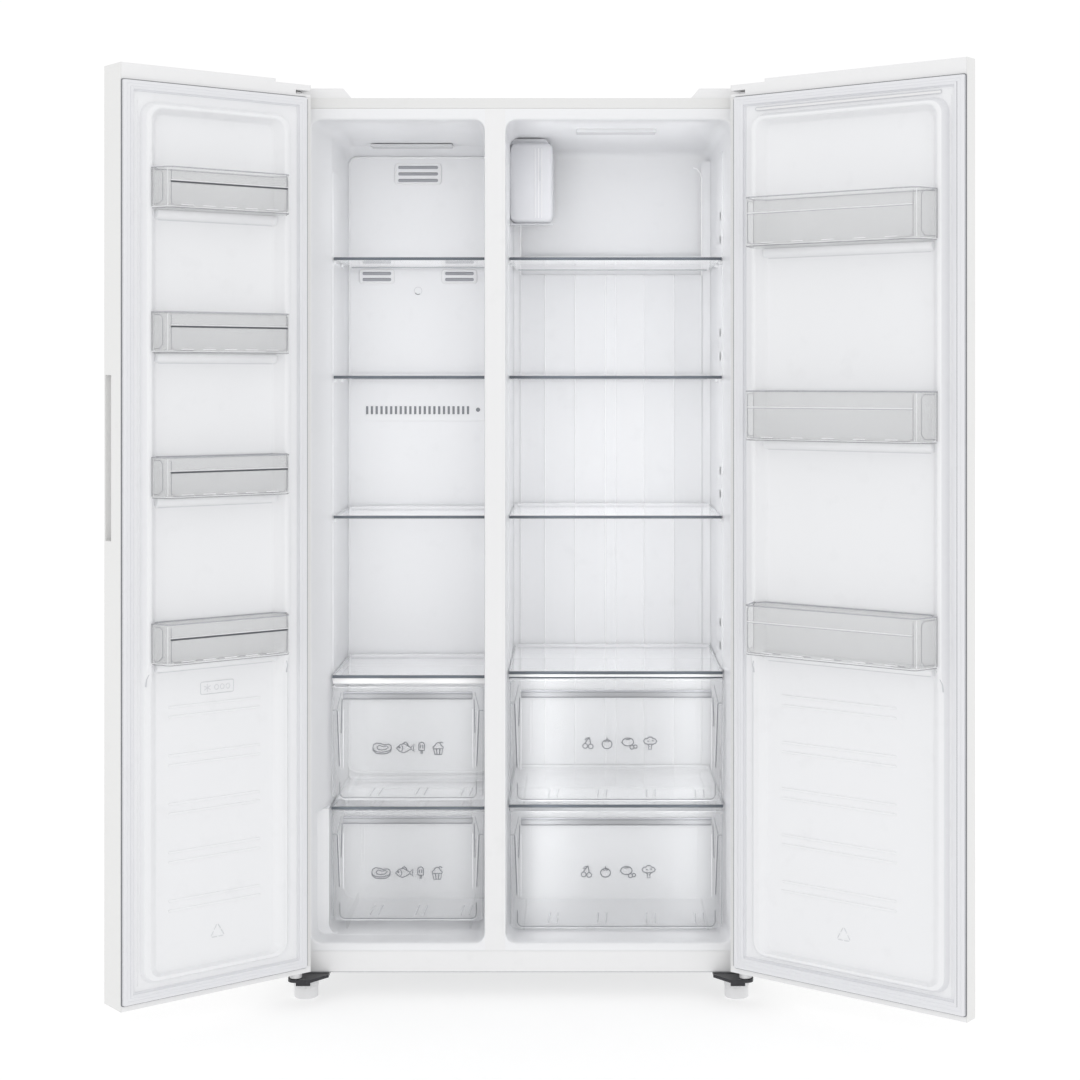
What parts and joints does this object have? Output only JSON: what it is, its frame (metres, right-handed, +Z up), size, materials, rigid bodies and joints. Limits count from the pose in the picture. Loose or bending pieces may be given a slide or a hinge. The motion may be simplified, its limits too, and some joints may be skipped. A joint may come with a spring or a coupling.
{
  "type": "side by side refrigerator",
  "caption": "Free-standing side by side refrigerator with a freezer and a fridge compartment, hinged doors, glass shelves, clear drawers and door bins.",
  "frame": {"origin": "on the floor, under the centre of the cabinet's width and of its depth without the doors", "axes": "+X to the right as seen from the front, +Y to the back, +Z up; the doors are drawn open"},
  "size_m": [1.5899, 0.943, 1.7855],
  "materials": {
    "painted_steel": "semi-gloss white enamel",
    "galvanised_steel": "plain zinc-coated sheet, satin",
    "foam": "rigid polyurethane foam",
    "liner_plastic": "smooth white moulded plastic",
    "trim_plastic": "smooth white moulded plastic",
    "fin_aluminium": "bare fin stock",
    "dark_plastic": "moulded black plastic",
    "fan_plastic": "moulded white plastic",
    "lamp_plastic": "frosted lens",
    "black_steel": "black satin paint",
    "cover_steel": "grey satin sheet",
    "black_rubber": "black rubber",
    "hinge_steel": "zinc plated",
    "dark_steel": "dark plated steel",
    "screw_steel": "zinc plated",
    "foot_plastic": "moulded white plastic",
    "roller_plastic": "moulded dark plastic",
    "shelf_glass": "tempered, polished edges",
    "clear_plastic": "clear moulded plastic",
    "bin_plastic": "frosted clear moulded plastic",
    "gasket_rubber": "soft light grey"
  },
  "bodies": {
    "cabinet": {"outer_shell": "painted_steel", "back_panel": "galvanised_steel", "base_pan": "galvanised_steel", "insulation_foam": "foam", "freezer_liner": "liner_plastic", "fridge_liner": "liner_plastic", "mullion_strip": "trim_plastic", "bottom_rail": "trim_plastic", "evaporator_cover": "liner_plastic", "evaporator_coil": "fin_aluminium", "fan_motor": "dark_plastic", "fridge_duct_cover": "liner_plastic", "damper_box": "liner_plastic", "lamp_covers": "lamp_plastic", "compressor": "black_steel", "drip_tray": "dark_plastic", "rear_bay_cover": "cover_steel", "cable_gland": "black_rubber", "top_hinges": "hinge_steel", "bottom_hinges": "dark_steel", "hinge_covers": "trim_plastic", "hinge_screws": "screw_steel"},
    "fan": {"fan_blades": "fan_plastic"},
    "left_foot": {"foot_left": "foot_plastic"},
    "right_foot": {"foot_right": "foot_plastic"},
    "rollers": {"rear_rollers": "roller_plastic"},
    "freezer_door": {"freezer_door_skin": "painted_steel", "freezer_door_caps": "trim_plastic", "freezer_door_foam": "foam", "freezer_door_liner": "liner_plastic", "freezer_gasket": "gasket_rubber", "freezer_door_stop": "dark_steel"},
    "fridge_door": {"fridge_door_skin": "painted_steel", "fridge_door_caps": "trim_plastic", "fridge_door_foam": "foam", "fridge_door_liner": "liner_plastic", "fridge_gasket": "gasket_rubber", "fridge_door_stop": "dark_steel", "fridge_door_strip": "trim_plastic"},
    "freezer_shelf_1": {"freezer_shelf_1": "shelf_glass"},
    "freezer_shelf_2": {"freezer_shelf_2": "shelf_glass"},
    "freezer_shelf_3": {"freezer_shelf_3": "shelf_glass"},
    "freezer_shelf_4": {"freezer_shelf_4": "shelf_glass"},
    "freezer_shelf_5": {"freezer_shelf_5": "shelf_glass"},
    "fridge_shelf_1": {"fridge_shelf_1": "shelf_glass"},
    "fridge_shelf_2": {"fridge_shelf_2": "shelf_glass"},
    "fridge_shelf_3": {"fridge_shelf_3": "shelf_glass"},
    "fridge_shelf_4": {"fridge_shelf_4": "shelf_glass"},
    "fridge_shelf_5": {"fridge_shelf_5": "shelf_glass"},
    "freezer_drawer_upper": {"freezer_drawer_upper": "clear_plastic"},
    "freezer_drawer_lower": {"freezer_drawer_lower": "clear_plastic"},
    "fridge_drawer_upper": {"fridge_drawer_upper": "clear_plastic"},
    "fridge_drawer_lower": {"fridge_drawer_lower": "clear_plastic"},
    "freezer_bin_1": {"freezer_bin_1": "bin_plastic"},
    "freezer_bin_2": {"freezer_bin_2": "bin_plastic"},
    "freezer_bin_3": {"freezer_bin_3": "bin_plastic"},
    "freezer_bin_4": {"freezer_bin_4": "bin_plastic"},
    "fridge_bin_1": {"fridge_bin_1": "bin_plastic"},
    "fridge_bin_2": {"fridge_bin_2": "bin_plastic"},
    "fridge_bin_3": {"fridge_bin_3": "bin_plastic"}
  },
  "joints": [
    {"name": "freezer_door_hinge", "type": "hinge", "parent": "cabinet", "child": "freezer_door", "pos_m": [-0.436, -0.323, 0], "axis": [0, 0, -1], "range_deg": [-141.4, 0]},
    {"name": "fridge_door_hinge", "type": "hinge", "parent": "cabinet", "child": "fridge_door", "pos_m": [0.436, -0.323, 0], "axis": [0, 0, 1], "range_deg": [-142.6, 0]},
    {"name": "fan_spin", "type": "hinge", "parent": "cabinet", "child": "fan", "pos_m": [-0.233, 0.16, 1.6], "axis": [0, 1, 0], "continuous": true},
    {"name": "left_foot_screw", "type": "hinge", "parent": "cabinet", "child": "left_foot", "pos_m": [-0.422, -0.277, 0], "axis": [0, 0, 1], "continuous": true},
    {"name": "right_foot_screw", "type": "hinge", "parent": "cabinet", "child": "right_foot", "pos_m": [0.422, -0.277, 0], "axis": [0, 0, 1], "continuous": true},
    {"name": "rollers_spin", "type": "hinge", "parent": "cabinet", "child": "rollers", "pos_m": [0, 0.23, 0.018], "axis": [1, 0, 0], "continuous": true},
    {"name": "freezer_shelf_1_slide", "type": "slide", "parent": "cabinet", "child": "freezer_shelf_1", "axis": [0, -1, 0], "range_m": [0, 0.26]},
    {"name": "freezer_shelf_2_slide", "type": "slide", "parent": "cabinet", "child": "freezer_shelf_2", "axis": [0, -1, 0], "range_m": [0, 0.26]},
    {"name": "freezer_shelf_3_slide", "type": "slide", "parent": "cabinet", "child": "freezer_shelf_3", "axis": [0, -1, 0], "range_m": [0, 0.26]},
    {"name": "freezer_shelf_4_slide", "type": "slide", "parent": "cabinet", "child": "freezer_shelf_4", "axis": [0, -1, 0], "range_m": [0, 0.26]},
    {"name": "freezer_shelf_5_slide", "type": "slide", "parent": "cabinet", "child": "freezer_shelf_5", "axis": [0, -1, 0], "range_m": [0, 0.26]},
    {"name": "fridge_shelf_1_slide", "type": "slide", "parent": "cabinet", "child": "fridge_shelf_1", "axis": [0, -1, 0], "range_m": [0, 0.36]},
    {"name": "fridge_shelf_2_slide", "type": "slide", "parent": "cabinet", "child": "fridge_shelf_2", "axis": [0, -1, 0], "range_m": [0, 0.36]},
    {"name": "fridge_shelf_3_slide", "type": "slide", "parent": "cabinet", "child": "fridge_shelf_3", "axis": [0, -1, 0], "range_m": [0, 0.36]},
    {"name": "fridge_shelf_4_slide", "type": "slide", "parent": "cabinet", "child": "fridge_shelf_4", "axis": [0, -1, 0], "range_m": [0, 0.36]},
    {"name": "fridge_shelf_5_slide", "type": "slide", "parent": "cabinet", "child": "fridge_shelf_5", "axis": [0, -1, 0], "range_m": [0, 0.36]},
    {"name": "freezer_drawer_upper_slide", "type": "slide", "parent": "cabinet", "child": "freezer_drawer_upper", "axis": [0, -1, 0], "range_m": [0, 0.29]},
    {"name": "freezer_drawer_lower_slide", "type": "slide", "parent": "cabinet", "child": "freezer_drawer_lower", "axis": [0, -1, 0], "range_m": [0, 0.22]},
    {"name": "fridge_drawer_upper_slide", "type": "slide", "parent": "cabinet", "child": "fridge_drawer_upper", "axis": [0, -1, 0], "range_m": [0, 0.3]},
    {"name": "fridge_drawer_lower_slide", "type": "slide", "parent": "cabinet", "child": "fridge_drawer_lower", "axis": [0, -1, 0], "range_m": [0, 0.23]},
    {"name": "freezer_bin_1_lift", "type": "slide", "parent": "freezer_door", "child": "freezer_bin_1", "axis": [0, 0, 1], "range_m": [0, 0.03]},
    {"name": "freezer_bin_2_lift", "type": "slide", "parent": "freezer_door", "child": "freezer_bin_2", "axis": [0, 0, 1], "range_m": [0, 0.03]},
    {"name": "freezer_bin_3_lift", "type": "slide", "parent": "freezer_door", "child": "freezer_bin_3", "axis": [0, 0, 1], "range_m": [0, 0.03]},
    {"name": "freezer_bin_4_lift", "type": "slide", "parent": "freezer_door", "child": "freezer_bin_4", "axis": [0, 0, 1], "range_m": [0, 0.03]},
    {"name": "fridge_bin_1_lift", "type": "slide", "parent": "fridge_door", "child": "fridge_bin_1", "axis": [0, 0, 1], "range_m": [0, 0.03]},
    {"name": "fridge_bin_2_lift", "type": "slide", "parent": "fridge_door", "child": "fridge_bin_2", "axis": [0, 0, 1], "range_m": [0, 0.03]},
    {"name": "fridge_bin_3_lift", "type": "slide", "parent": "fridge_door", "child": "fridge_bin_3", "axis": [0, 0, 1], "range_m": [0, 0.03]}
  ]
}
